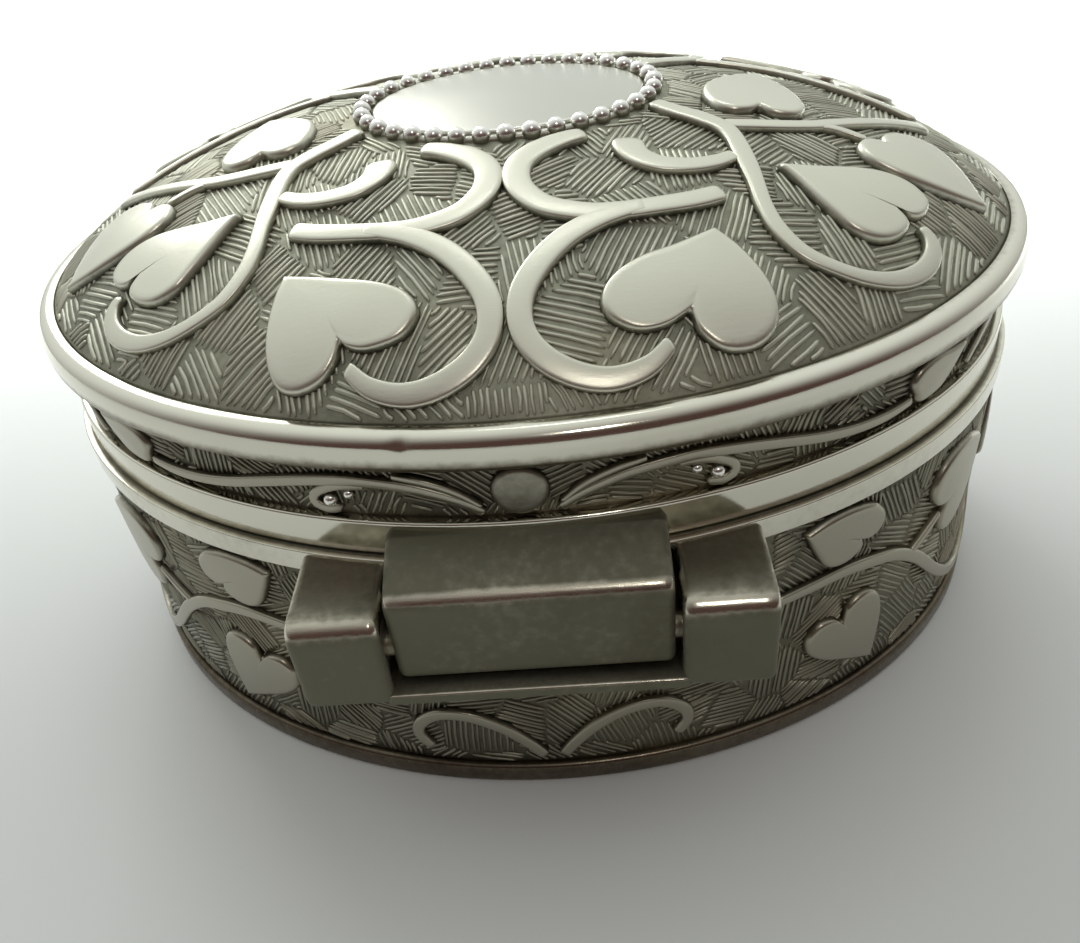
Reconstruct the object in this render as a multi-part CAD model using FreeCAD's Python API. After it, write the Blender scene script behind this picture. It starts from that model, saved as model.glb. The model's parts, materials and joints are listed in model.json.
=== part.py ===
# Oval pill box with a domed lid, hinged at the back. Millimetres, +Z up.
# The origin is the centre of the underside; +X is the long way, the hinge is on the -Y side.
import FreeCAD, Part
import math
import os

Vector = FreeCAD.Vector

# Overall sizes
box_length = 44.5          # over the polished rim moulding
box_width = 35.7
base_height = 13.1         # underside to the seam
lid_wall_height = 5.35     # lid wall, from its lower edge to the edge of the dome
dome_rise = 5.6            # dome edge to dome top
dome_fullness = 0.85       # 0 is a shallow paraboloid, 1 is half an ellipsoid

# Walls
floor_thickness = 1.0
base_wall_thickness = 1.1
lid_wall_thickness = 0.5
dome_thickness = 0.7

# Mouldings: how far each one stands out past the lid wall, and how tall it is
rim_projection = 0.85
rim_height = 1.4
lower_rim_projection = 0.45
lower_rim_height = 1.5
base_wall_projection = 0.55
base_rim_projection = 0.80
base_rim_height = 1.0
foot_projection = 0.90
foot_height = 1.1

# Collar that the closed lid slips over
collar_thickness = 0.5
collar_rise = 1.0          # above the seam
collar_seat = 3.0          # depth of the collar against the base wall
collar_clearance = 0.2
seam_gap = 0.05

# Cartouche on the dome
cartouche_length = 12.7    # over the centre line of the beads
cartouche_width = 10.0
bead_radius = 0.38
bead_count = 36
bead_wire_width = 0.44
bead_wire_rise = 0.14      # wire above the dome
bead_lift = 0.18           # bead centres above the dome
plate_rise = 0.14
plate_gap = 0.05           # between the plate and the beads

# Hinge
hinge_axis_outset = 1.6    # pin axis out from the base wall
hinge_axis_drop = 2.2      # pin axis below the seam
pin_radius = 0.5
pin_clearance = 0.05
knuckle_half_width = 5.0
knuckle_side_gap = 0.2
knuckle_front = 0.75       # front face out from the pin axis
knuckle_top_fall = 0.95    # the top face falls this much towards the front
knuckle_back_gap = 0.25    # behind the knuckle, to the base's top rim
knuckle_turn_gap = 0.3     # under and behind the knuckle as it turns
knuckle_top_drop = 0.3     # top face below the top of the lid's lower rim
knuckle_edge_radius = 0.8
ear_width = 3.3
ear_front = 1.25           # front face out from the pin axis
ear_top_gap = 0.2          # under the lid
ear_edge_radius = 1.0
ear_foot_radius = 0.5
bar_thickness = 0.5
hinge_softening = 0.2      # worn roundness of the ears' and knuckle's end edges

# Thumb lip at the front of the lid
lip_radius = 4.5
lip_projection = 0.9
lip_thickness = 0.8

# Derived places
lid_half_length = box_length / 2 - rim_projection
lid_half_width = box_width / 2 - rim_projection
lid_bottom = base_height + seam_gap
dome_edge = lid_bottom + lid_wall_height
lid_inset = -lid_wall_thickness
collar_offset = lid_inset - collar_clearance
base_inside = base_wall_projection - base_wall_thickness
pin_y = -(lid_half_width + base_wall_projection + hinge_axis_outset)
pin_z = base_height - hinge_axis_drop
turn_radius = hinge_axis_outset - knuckle_turn_gap
bar_top = pin_z - turn_radius - knuckle_turn_gap
ear_inner = knuckle_half_width + knuckle_side_gap
ear_outer = ear_inner + ear_width


def oval_wire(offset, z):
    """Ellipse wire at height z, outside the lid wall's oval by offset."""
    ellipse = Part.Ellipse(Vector(0, 0, z), lid_half_length + offset, lid_half_width + offset)
    return Part.Wire([ellipse.toShape()])


def oval_prism(offset, low, high):
    """Solid oval from height low to height high."""
    return Part.Face(oval_wire(offset, low)).extrude(Vector(0, 0, high - low))


def oval_ring(outer, inner, low, high):
    """Straight oval ring between two offsets."""
    return oval_prism(outer, low, high).cut(oval_prism(inner, low, high))


def round_moulding(inner, outer, low, high):
    """Half-round oval moulding on a wall at offset inner, out to offset outer."""
    steps = 8
    middle = (low + high) / 2
    half = (high - low) / 2
    wires = []
    for step in range(steps + 1):
        angle = math.pi * step / steps
        offset = inner + (outer - inner) * math.sin(angle)
        wires.append(oval_wire(offset, middle - half * math.cos(angle)))
    return Part.makeLoft(wires, True, False).cut(oval_prism(inner, low, high))


def dome_solid(growth):
    """Whole ellipsoid that the dome is cut from, grown by growth."""
    edge_ratio = math.sqrt(1 - dome_fullness)
    spread = math.sqrt(dome_fullness)
    height = dome_rise / (1 - edge_ratio)
    matrix = FreeCAD.Matrix()
    matrix.scale(lid_half_length / spread + growth, lid_half_width / spread + growth, height + growth)
    matrix.move(Vector(0, 0, dome_edge - height * edge_ratio))
    return Part.makeSphere(1.0).transformGeometry(matrix)


def dome_level(share):
    """Height of the dome's outer face where the oval has shrunk to share of its size."""
    edge_ratio = math.sqrt(1 - dome_fullness)
    height = dome_rise / (1 - edge_ratio)
    return dome_edge + height * (math.sqrt(1 - dome_fullness * share ** 2) - edge_ratio)


def ellipse_prism(half_length, half_width, low, high):
    """Solid ellipse about the Z axis."""
    ellipse = Part.Ellipse(Vector(0, 0, low), half_length, half_width)
    face = Part.Face(Part.Wire([ellipse.toShape()]))
    return face.extrude(Vector(0, 0, high - low))


def rounded_profile(corners):
    """Closed wire in the YZ plane through (y, z, radius) corners."""
    edges = []
    spans = []
    count = len(corners)
    for index, (y, z, radius) in enumerate(corners):
        here = Vector(0, y, z)
        before = Vector(0, *corners[index - 1][:2]) - here
        after = Vector(0, *corners[(index + 1) % count][:2]) - here
        half_angle = before.getAngle(after) / 2
        reach = radius / math.tan(half_angle)
        before.normalize()
        after.normalize()
        start = here + before * reach
        end = here + after * reach
        if radius > 0:
            bisector = (before + after).normalize()
            middle = here + bisector * (radius / math.sin(half_angle) - radius)
            edges.append(Part.Arc(start, middle, end).toShape())
        spans.append((start, end))
    for index, (start, end) in enumerate(spans):
        edges.append(Part.LineSegment(end, spans[(index + 1) % count][0]).toShape())
    return Part.Wire(Part.__sortEdges__(edges))


def profile_block(corners, low_x, high_x):
    """Prism of a YZ profile between two X positions, with its end edges rounded."""
    face = Part.Face(rounded_profile(corners))
    face.translate(Vector(low_x, 0, 0))
    block = face.extrude(Vector(high_x - low_x, 0, 0))
    ends = [edge for edge in block.Edges if edge.BoundBox.XLength < hinge_softening / 100]
    return block.makeFillet(hinge_softening, ends)


def x_cylinder(radius, low_x, high_x):
    """Cylinder on the hinge axis."""
    return Part.makeCylinder(radius, high_x - low_x, Vector(low_x, pin_y, pin_z), Vector(1, 0, 0))


def make_base_wall():
    return oval_ring(base_wall_projection, base_inside, 0, base_height)


def make_base_floor():
    return oval_prism(base_inside, 0, floor_thickness)


def make_base_top_rim():
    return oval_ring(base_rim_projection, base_wall_projection, base_height - base_rim_height, base_height)


def make_base_foot_rim():
    return round_moulding(base_wall_projection, foot_projection, 0, foot_height)


def make_base_collar():
    """Inner collar with a seat on the base wall and a free edge that stands in the lid."""
    seat = oval_prism(base_inside, base_height - collar_seat, base_height)
    edge = oval_prism(collar_offset, base_height, base_height + collar_rise)
    bore = oval_prism(collar_offset - collar_thickness, 0, dome_edge)
    return seat.fuse(edge).cut(bore).removeSplitter()


def make_lid_wall():
    return oval_ring(0, lid_inset, lid_bottom, dome_edge)


def make_lid_lower_rim():
    return oval_ring(lower_rim_projection, 0, lid_bottom, lid_bottom + lower_rim_height)


def make_lid_rim_moulding():
    return round_moulding(0, rim_projection, dome_edge - rim_height, dome_edge)


def make_lid_dome():
    """Domed plate of even thickness that sits on the lid wall."""
    shell = dome_solid(0).cut(dome_solid(-dome_thickness))
    return shell.common(oval_prism(rim_projection, dome_edge, dome_edge + 2 * dome_rise))


def make_cartouche_plate():
    """Thin blank plate that follows the dome inside the bead ring."""
    inset = bead_radius + plate_gap
    column = ellipse_prism(cartouche_length / 2 - inset, cartouche_width / 2 - inset,
                           dome_edge, dome_edge + 2 * dome_rise)
    return dome_solid(plate_rise).cut(dome_solid(0)).common(column)


def bead_centres():
    """Points at even steps along the bead oval."""
    level = dome_level(cartouche_length / 2 / lid_half_length)
    ellipse = Part.Ellipse(Vector(0, 0, level + bead_lift), cartouche_length / 2, cartouche_width / 2)
    points = ellipse.toShape().discretize(Number=bead_count * 2 + 1)
    return points[1::2]


def make_bead_ring():
    """Oval wire with round beads on it, bedded on the dome."""
    level = dome_level(cartouche_length / 2 / lid_half_length)
    half = bead_wire_width / 2
    low = level - bead_radius
    high = level + bead_wire_rise
    outside = ellipse_prism(cartouche_length / 2 + half, cartouche_width / 2 + half, low, high)
    inside = ellipse_prism(cartouche_length / 2 - half, cartouche_width / 2 - half, low, high)
    beads = [Part.makeSphere(bead_radius, centre) for centre in bead_centres()]
    return outside.cut(inside).multiFuse(beads).cut(dome_solid(0))


def make_hinge_ear(side):
    """Square bracket post beside the knuckle; side is -1 or +1."""
    front = pin_y - ear_front
    back = -lid_half_width * 0.8
    top = lid_bottom - ear_top_gap
    bottom = bar_top - bar_thickness
    corners = [(front, bottom, ear_foot_radius), (front, top, ear_edge_radius), (back, top, 0), (back, bottom, 0)]
    low_x = min(side * ear_inner, side * ear_outer)
    block = profile_block(corners, low_x, low_x + ear_width)
    block = block.cut(oval_prism(base_wall_projection, 0, base_height))
    block = block.cut(oval_prism(base_rim_projection, base_height - base_rim_height, base_height))
    return block.cut(x_cylinder(pin_radius, -ear_outer, ear_outer))


def make_hinge_floor_bar():
    """Thin bar that joins the two ears under the knuckle."""
    front = pin_y - ear_front
    bar = Part.makeBox(2 * ear_inner, -front, bar_thickness, Vector(-ear_inner, front, bar_top - bar_thickness))
    return bar.cut(oval_prism(base_wall_projection, 0, base_height))


def make_hinge_pin():
    return x_cylinder(pin_radius, -ear_outer, ear_outer)


def make_lid_knuckle():
    """Square knuckle of the lid, rounded about the pin where it turns past the base."""
    front = pin_y - knuckle_front
    back = -(lid_half_width + base_rim_projection + knuckle_back_gap)
    inner = -lid_half_width * 0.8
    top = lid_bottom + lower_rim_height - knuckle_top_drop
    corners = [
        (front, pin_z - turn_radius, 0),
        (front, top - knuckle_top_fall, knuckle_edge_radius),
        (-(lid_half_width + lower_rim_projection), top, 0),
        (inner, top, 0),
        (inner, lid_bottom, 0),
        (back, lid_bottom, 0),
        (back, pin_z - turn_radius, 0),
    ]
    block = profile_block(corners, -knuckle_half_width, knuckle_half_width)
    upper = Part.makeBox(2 * box_length, box_width, box_length, Vector(-box_length, pin_y - box_width / 2, pin_z))
    turning = x_cylinder(turn_radius, -box_length, box_length)
    block = block.common(upper.fuse(turning))
    block = block.cut(oval_prism(lower_rim_projection, lid_bottom, dome_edge))
    return block.cut(x_cylinder(pin_radius + pin_clearance, -box_length, box_length))


def make_thumb_lip():
    """Crescent lip at the front of the lid, to lift it by."""
    centre = lid_half_width + lower_rim_projection + lip_projection - lip_radius
    disc = Part.makeCylinder(lip_radius, lip_thickness, Vector(0, centre, lid_bottom))
    front = Part.makeBox(box_length, box_width, box_length, Vector(-box_length / 2, 0, 0))
    return disc.cut(oval_prism(lower_rim_projection, lid_bottom, dome_edge)).common(front)


nodes = {
    "base_wall": make_base_wall(),
    "base_floor": make_base_floor(),
    "base_top_rim": make_base_top_rim(),
    "base_foot_rim": make_base_foot_rim(),
    "base_collar": make_base_collar(),
    "hinge_ear_left": make_hinge_ear(-1),
    "hinge_ear_right": make_hinge_ear(1),
    "hinge_floor_bar": make_hinge_floor_bar(),
    "hinge_pin": make_hinge_pin(),
    "hinge_lid_knuckle": make_lid_knuckle(),
    "lid_wall": make_lid_wall(),
    "lid_lower_rim": make_lid_lower_rim(),
    "lid_rim_moulding": make_lid_rim_moulding(),
    "lid_dome": make_lid_dome(),
    "lid_thumb_lip": make_thumb_lip(),
    "cartouche_plate": make_cartouche_plate(),
    "cartouche_bead_ring": make_bead_ring(),
}

os.makedirs("parts", exist_ok=True)
for name, shape in nodes.items():
    print(name, "valid" if shape.isValid() else "INVALID", len(shape.Solids), round(shape.Volume, 3))
    shape.exportStep("parts/" + name + ".step")
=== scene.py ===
import json
import math
import bpy
import numpy as np
from mathutils import Matrix, Vector


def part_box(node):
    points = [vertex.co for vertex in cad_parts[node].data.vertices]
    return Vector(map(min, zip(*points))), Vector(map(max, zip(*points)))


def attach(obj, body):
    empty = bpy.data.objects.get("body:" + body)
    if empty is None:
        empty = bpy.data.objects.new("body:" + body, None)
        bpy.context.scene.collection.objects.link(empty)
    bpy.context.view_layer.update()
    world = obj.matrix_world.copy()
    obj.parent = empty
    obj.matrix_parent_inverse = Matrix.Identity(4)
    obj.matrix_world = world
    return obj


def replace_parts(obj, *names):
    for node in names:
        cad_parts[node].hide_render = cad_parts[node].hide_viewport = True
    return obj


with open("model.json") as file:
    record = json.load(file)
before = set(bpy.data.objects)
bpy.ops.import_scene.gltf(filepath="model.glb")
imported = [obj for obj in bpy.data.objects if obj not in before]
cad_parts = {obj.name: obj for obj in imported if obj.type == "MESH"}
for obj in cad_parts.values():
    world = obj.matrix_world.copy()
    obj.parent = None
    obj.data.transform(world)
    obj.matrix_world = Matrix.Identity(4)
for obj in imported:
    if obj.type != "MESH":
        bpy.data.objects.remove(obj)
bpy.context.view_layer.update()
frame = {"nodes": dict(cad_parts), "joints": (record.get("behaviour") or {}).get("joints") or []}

mm = 0.001
print("frame loaded:", len(frame["nodes"]), "nodes")


def nodeBox(node):
    # lowest and highest corner of a frame node, in millimetres
    low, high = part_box(node)
    return np.array(low) / mm, np.array(high) / mm


# the three surfaces that carry the relief
wallHigh = nodeBox("lid_wall")[1]
baseHigh = nodeBox("base_wall")[1]
domeLow, domeHigh = nodeBox("lid_dome")
lidOval = (wallHigh[0], wallHigh[1])
baseOval = (baseHigh[0], baseHigh[1])
seam = baseHigh[2]
domeEdge = domeLow[2]
domeSettings = {"fullness": 0.85, "thickness": 0.7}


def domeAxes():
    # ellipsoid whose cap has the dome's edge and top: half length and width over root fullness
    spread = math.sqrt(domeSettings["fullness"])
    edgeRatio = math.sqrt(1 - domeSettings["fullness"])
    height = (domeHigh[2] - domeEdge) / (1 - edgeRatio)
    centre = domeEdge - height * edgeRatio
    return lidOval[0] / spread, lidOval[1] / spread, height, centre


def onDome(u, v, lift):
    # plan point (u, v) raised to the ellipsoid, then moved out along its normal by lift
    a, b, c, centre = domeAxes()
    rise = np.sqrt(np.maximum(1 - (u / a) ** 2 - (v / b) ** 2, 0.02))
    point = np.stack([u, v, centre + c * rise], axis=-1)
    normal = np.stack([u / a ** 2, v / b ** 2, rise / c], axis=-1)
    normal /= np.linalg.norm(normal, axis=-1, keepdims=True)
    return point + normal * np.asarray(lift)[..., None]


def arcTable(oval):
    # running length round the oval from the middle of the hinge side, against angle
    angle = np.linspace(-math.pi, math.pi, 4001)
    step = np.hypot(np.diff(oval[0] * np.sin(angle)), np.diff(oval[1] * np.cos(angle)))
    length = np.concatenate([[0], np.cumsum(step)])
    return angle, length - length[2000]


def wallSurface(oval):
    # (u, v) is length round the oval and height; lift is along the oval's outward normal
    angle, length = arcTable(oval)
    around = length[-1] * 2

    def place(u, v, lift):
        turn = np.interp((np.asarray(u) + around / 2) % around - around / 2, length, angle)
        point = np.stack([oval[0] * np.sin(turn), -oval[1] * np.cos(turn), v + 0 * turn], axis=-1)
        normal = np.stack([np.sin(turn) / oval[0], -np.cos(turn) / oval[1], 0 * turn], axis=-1)
        normal /= np.linalg.norm(normal, axis=-1, keepdims=True)
        return point + normal * np.asarray(lift)[..., None]

    return place, around


onLidWall, lidAround = wallSurface(lidOval)
onBaseWall, baseAround = wallSurface(baseOval)


def newGroup(name, inputs, outputs):
    # empty shader group with named sockets; gives the group, its input node and its output node
    group = bpy.data.node_groups.new(name, "ShaderNodeTree")
    for label, kind, value in inputs:
        socket = group.interface.new_socket(label, in_out="INPUT", socket_type=kind)
        socket.default_value = value
    for label, kind in outputs:
        group.interface.new_socket(label, in_out="OUTPUT", socket_type=kind)
    return group, group.nodes.new("NodeGroupInput"), group.nodes.new("NodeGroupOutput")


def noiseNode(tree, coord, scale, detail=3.0, rough=0.55, distort=0.0):
    # noise of 0 to 1 at coord; scale is cells per metre, a number or a socket
    node = tree.nodes.new("ShaderNodeTexNoise")
    node.inputs["Detail"].default_value = detail
    node.inputs["Roughness"].default_value = rough
    node.inputs["Distortion"].default_value = distort
    tree.links.new(coord, node.inputs["Vector"])
    if isinstance(scale, (int, float)):
        node.inputs["Scale"].default_value = scale
    else:
        tree.links.new(scale, node.inputs["Scale"])
    return node.outputs["Fac"]


def mathNode(tree, operation, first, second=0.0, clamp=False):
    # first (operation) second, each a number or a socket
    node = tree.nodes.new("ShaderNodeMath")
    node.operation = operation
    node.use_clamp = clamp
    for socket, value in zip(node.inputs, (first, second)):
        if isinstance(value, (int, float)):
            socket.default_value = value
        else:
            tree.links.new(value, socket)
    return node.outputs[0]


def rangeNode(tree, value, low, high, outLow=0.0, outHigh=1.0):
    # value mapped from low..high to outLow..outHigh, smooth at both ends
    node = tree.nodes.new("ShaderNodeMapRange")
    node.interpolation_type = "SMOOTHSTEP"
    tree.links.new(value, node.inputs["Value"])
    for label, number in zip(("From Min", "From Max", "To Min", "To Max"), (low, high, outLow, outHigh)):
        if isinstance(number, (int, float)):
            node.inputs[label].default_value = number
        else:
            tree.links.new(number, node.inputs[label])
    return node.outputs["Result"]


def mixColor(tree, mask, first, second):
    # first * (1 - mask) + second * mask
    node = tree.nodes.new("ShaderNodeMix")
    node.data_type = "RGBA"
    for socket, value in ((node.inputs[0], mask), (node.inputs[6], first), (node.inputs[7], second)):
        if isinstance(value, (int, float, tuple)):
            socket.default_value = value
        else:
            tree.links.new(value, socket)
    return node.outputs[2]


def objectCoord(tree):
    # position in the piece's own space, which is the frame's
    return tree.nodes.new("ShaderNodeTexCoord").outputs["Object"]


def makePatinaGroup():
    # bright metal where wear and painted light is high, olive patina where it is low, both clouded by noise;
    # high is rubbed wear, and on some pieces also painted highlight; low is patina in hollows, and on some
    # pieces also painted shade; the border between them wanders with a finer noise
    group, given, result = newGroup(
        "silverPatina",
        [("Wear And Painted Light", "NodeSocketFloat", 1.0), ("Metal", "NodeSocketColor", (0.7, 0.69, 0.64, 1)),
         ("Patina", "NodeSocketColor", (0.16, 0.16, 0.13, 1)),
         ("Stain", "NodeSocketColor", (0.45, 0.38, 0.24, 1)),
         ("Stain Amount", "NodeSocketFloat", 0.2), ("Bright Roughness", "NodeSocketFloat", 0.25),
         ("Dark Roughness", "NodeSocketFloat", 0.5)],
        [("Color", "NodeSocketColor"), ("Roughness", "NodeSocketFloat")])
    coord = objectCoord(group)
    broad = noiseNode(group, coord, 160.0, 4.0)
    fine = noiseNode(group, coord, 2600.0, 3.0)
    wander = mathNode(group, "MULTIPLY", mathNode(group, "SUBTRACT", broad, 0.5), 0.55)
    grain = mathNode(group, "MULTIPLY", mathNode(group, "SUBTRACT", fine, 0.5), 0.35)
    edge = mathNode(group, "ADD", mathNode(group, "ADD", given.outputs["Wear And Painted Light"], wander), grain)
    mask = rangeNode(group, edge, 0.18, 0.78)
    color = mixColor(group, mask, given.outputs["Patina"], given.outputs["Metal"])
    stainSpread = rangeNode(group, noiseNode(group, coord, 75.0, 5.0, 0.6, 0.4), 0.48, 0.72)
    stainMask = mathNode(group, "MULTIPLY", stainSpread, given.outputs["Stain Amount"])
    color = mixColor(group, stainMask, color, given.outputs["Stain"])
    rough = rangeNode(group, mask, 0.0, 1.0, given.outputs["Dark Roughness"],
                      given.outputs["Bright Roughness"])
    smudge = mathNode(group, "MULTIPLY", mathNode(group, "SUBTRACT", broad, 0.45), 0.16)
    group.links.new(color, result.inputs["Color"])
    group.links.new(mathNode(group, "ADD", rough, smudge, True), result.inputs["Roughness"])
    return group


def makeScratchGroup():
    # height of fine rubbing marks: noise drawn out along one way, plus small pits
    group, given, result = newGroup(
        "fineScratches",
        [("Stretch", "NodeSocketVector", (1, 12, 12)), ("Scale", "NodeSocketFloat", 900.0),
         ("Pit Depth", "NodeSocketFloat", 0.4)],
        [("Height", "NodeSocketFloat")])
    coord = objectCoord(group)
    mapping = group.nodes.new("ShaderNodeMapping")
    group.links.new(coord, mapping.inputs["Vector"])
    group.links.new(given.outputs["Stretch"], mapping.inputs["Scale"])
    lines = noiseNode(group, mapping.outputs["Vector"], given.outputs["Scale"], 4.0, 0.7)
    pits = rangeNode(group, noiseNode(group, coord, 3800.0, 2.0), 0.62, 0.78)
    deep = mathNode(group, "MULTIPLY", pits, given.outputs["Pit Depth"])
    group.links.new(mathNode(group, "SUBTRACT", lines, deep), result.inputs["Height"])
    return group


patinaGroup = makePatinaGroup()
scratchGroup = makeScratchGroup()

silverTypes = {
    "groundSilver": {"metal": (0.48, 0.485, 0.39), "patina": (0.21, 0.215, 0.165), "stainAmount": 0.30,
                     "bright": 0.54, "dark": 0.60, "worn": 0.46, "bump": 0.25, "stretch": (4, 4, 4)},
    "reliefSilver": {"metal": (0.74, 0.73, 0.62), "patina": (0.15, 0.15, 0.12), "stainAmount": 0.12,
                     "bright": 0.33, "dark": 0.46, "worn": None, "bump": 0.10, "stretch": (2, 9, 9)},
    "hatchSilver": {"metal": (0.60, 0.60, 0.50), "patina": (0.16, 0.165, 0.13), "stainAmount": 0.25,
                    "bright": 0.50, "dark": 0.50, "worn": None, "bump": 0.12, "stretch": (3, 3, 3)},
    # wall silvers: the dome's ground, relief and hatch silvers with darker metal and patina, as painted shade
    # on the upright walls
    "wallGroundSilverPaintedShade": {"metal": (0.23, 0.22, 0.17), "patina": (0.095, 0.09, 0.065), "stainAmount": 0.35,
                         "bright": 0.42, "dark": 0.50, "worn": 0.46, "bump": 0.25, "stretch": (4, 4, 4)},
    "wallReliefSilverPaintedShade": {"metal": (0.40, 0.38, 0.31), "patina": (0.09, 0.085, 0.06), "stainAmount": 0.20,
                         "bright": 0.30, "dark": 0.46, "worn": None, "bump": 0.10, "stretch": (2, 9, 9)},
    "wallHatchSilverPaintedShade": {"metal": (0.29, 0.28, 0.22), "patina": (0.08, 0.075, 0.055), "stainAmount": 0.30,
                        "bright": 0.36, "dark": 0.50, "worn": None, "bump": 0.12, "stretch": (3, 3, 3)},
    "rimSilver": {"metal": (0.76, 0.74, 0.64), "patina": (0.22, 0.19, 0.145), "stainAmount": 0.18,
                  "bright": 0.13, "dark": 0.32, "worn": None, "bump": 0.05, "stretch": (1, 1, 14)},
    # foot rim: brown tarnish, with its metal and patina darkened as painted shade
    "footSilverTarnishAndShade": {"metal": (0.20, 0.17, 0.13), "patina": (0.06, 0.045, 0.03), "stainAmount": 0.3,
                   "bright": 0.20, "dark": 0.40, "worn": None, "bump": 0.05, "stretch": (1, 1, 14)},
    "plateSilver": {"metal": (0.62, 0.615, 0.55), "patina": (0.34, 0.33, 0.28), "stainAmount": 0.06,
                    "bright": 0.30, "dark": 0.36, "worn": 0.85, "bump": 0.07, "stretch": (1, 14, 14)},
    # beads, bead bosses and wire: metal and patina lightened as painted highlight
    "beadSilverPaintedHighlight": {"metal": (1.0, 0.99, 0.95), "patina": (0.38, 0.37, 0.30), "stainAmount": 0.05,
                   "bright": 0.22, "dark": 0.42, "worn": None, "bump": 0.03, "stretch": (2, 2, 2)},
    "hingeSilver": {"metal": (0.70, 0.66, 0.55), "patina": (0.19, 0.185, 0.135), "stainAmount": 0.55,
                    "stain": (0.13, 0.12, 0.085), "bright": 0.19, "dark": 0.60, "worn": None, "bump": 0.10,
                    "stretch": (1, 10, 10)},
    "innerSilver": {"metal": (0.70, 0.69, 0.63), "patina": (0.36, 0.34, 0.28), "stainAmount": 0.25,
                    "bright": 0.30, "dark": 0.42, "worn": 0.7, "bump": 0.10, "stretch": (1, 8, 8)},
}


def makeSilver(name, setting):
    # one metal: patina group for colour and roughness, scratch group for bump
    material = bpy.data.materials.new(name)
    material.use_nodes = True
    tree = material.node_tree
    shader = tree.nodes["Principled BSDF"]
    shader.inputs["Metallic"].default_value = 1.0
    patina = tree.nodes.new("ShaderNodeGroup")
    patina.node_tree = patinaGroup
    patina.inputs["Metal"].default_value = setting["metal"] + (1,)
    patina.inputs["Patina"].default_value = setting["patina"] + (1,)
    patina.inputs["Stain"].default_value = setting.get("stain", (0.45, 0.38, 0.24)) + (1,)
    patina.inputs["Stain Amount"].default_value = setting["stainAmount"]
    patina.inputs["Bright Roughness"].default_value = setting["bright"]
    patina.inputs["Dark Roughness"].default_value = setting["dark"]
    if setting["worn"] is None:
        attribute = tree.nodes.new("ShaderNodeAttribute")
        attribute.attribute_name = "worn"
        tree.links.new(attribute.outputs["Fac"], patina.inputs["Wear And Painted Light"])
    else:
        patina.inputs["Wear And Painted Light"].default_value = setting["worn"]
    scratch = tree.nodes.new("ShaderNodeGroup")
    scratch.node_tree = scratchGroup
    scratch.inputs["Stretch"].default_value = setting["stretch"]
    bump = tree.nodes.new("ShaderNodeBump")
    bump.inputs["Strength"].default_value = setting["bump"]
    bump.inputs["Distance"].default_value = 0.00005
    tree.links.new(scratch.outputs["Height"], bump.inputs["Height"])
    tree.links.new(bump.outputs["Normal"], shader.inputs["Normal"])
    tree.links.new(patina.outputs["Color"], shader.inputs["Base Color"])
    tree.links.new(patina.outputs["Roughness"], shader.inputs["Roughness"])
    return material


silvers = {name: makeSilver(name, setting) for name, setting in silverTypes.items()}
print("materials made:", len(silvers))


def gridFaces(rows, columns, wrapColumns=True, wrapRows=False):
    # quads between neighbouring rows and columns of a grid of points
    r = np.arange(rows if wrapRows else rows - 1)[:, None]
    c = np.arange(columns if wrapColumns else columns - 1)[None, :]
    nextRow = (r + 1) % rows
    nextColumn = (c + 1) % columns
    return np.stack([r * columns + c, r * columns + nextColumn,
                     nextRow * columns + nextColumn, nextRow * columns + c], axis=-1).reshape(-1, 4)


def enclosedVolume(points, faces):
    # sum over the faces' corner fans of p0 . (p1 x p2) / 6
    total = 0.0
    for size in sorted(set(len(face) for face in faces)):
        corner = np.array([face for face in faces if len(face) == size])
        for k in range(1, size - 1):
            p0, p1, p2 = points[corner[:, 0]], points[corner[:, k]], points[corner[:, k + 1]]
            total += np.einsum("ij,ij->i", p0, np.cross(p1, p2)).sum() / 6
    return total


def buildPiece(name, points, faces, body, silver, worn=None):
    # closed mesh from points in millimetres; faces are turned round if they enclose a negative volume
    points = np.asarray(points, float).reshape(-1, 3)
    faces = [list(face) for face in faces]
    if enclosedVolume(points, faces) < 0:
        faces = [face[::-1] for face in faces]
    mesh = bpy.data.meshes.new(name)
    mesh.from_pydata((points * mm).tolist(), [], faces)
    mesh.polygons.foreach_set("use_smooth", np.ones(len(faces), bool))
    if worn is not None:
        layer = mesh.attributes.new("worn", "FLOAT", "POINT")
        layer.data.foreach_set("value", np.asarray(worn, np.float32).ravel())
    mesh.materials.append(silvers[silver])
    mesh.update()
    piece = bpy.data.objects.new(name, mesh)
    bpy.context.scene.collection.objects.link(piece)
    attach(piece, body)
    return piece


def smoothLine(points, spacing):
    # Catmull-Rom cubic through the points, then resampled at even steps of its length
    points = np.asarray(points, float)
    padded = np.vstack([2 * points[0] - points[1], points, 2 * points[-1] - points[-2]])
    t = np.linspace(0, len(points) - 1, len(points) * 24)
    i = np.minimum(t.astype(int), len(points) - 2)
    f = (t - i)[:, None]
    p0, p1, p2, p3 = padded[i], padded[i + 1], padded[i + 2], padded[i + 3]
    dense = 0.5 * (2 * p1 + (p2 - p0) * f + (2 * p0 - 5 * p1 + 4 * p2 - p3) * f ** 2
                   + (3 * p1 - p0 - 3 * p2 + p3) * f ** 3)
    run = np.concatenate([[0], np.cumsum(np.hypot(*np.diff(dense[:, :2], axis=0).T))])
    even = np.linspace(0, run[-1], max(int(run[-1] / spacing), 8))
    return np.stack([np.interp(even, run, column) for column in dense.T], axis=-1)


def mirrored(points, signU, signV, turnU=0.0):
    # the same shape on the other side of the box; turnU is the length to reflect about
    points = np.array(points, float)
    points[:, 0] = points[:, 0] * signU if turnU == 0 else signU * (turnU - points[:, 0])
    points[:, 1] = points[:, 1] * signV
    return points


# vines: a flat-topped profile carried along a curve
vineSettings = {"height": 0.36, "sink": 0.12, "spacing": 0.16, "across": 17, "square": 0.34, "crown": 0.05,
                "endRound": 0.5, "widen": 0.98}


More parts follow.
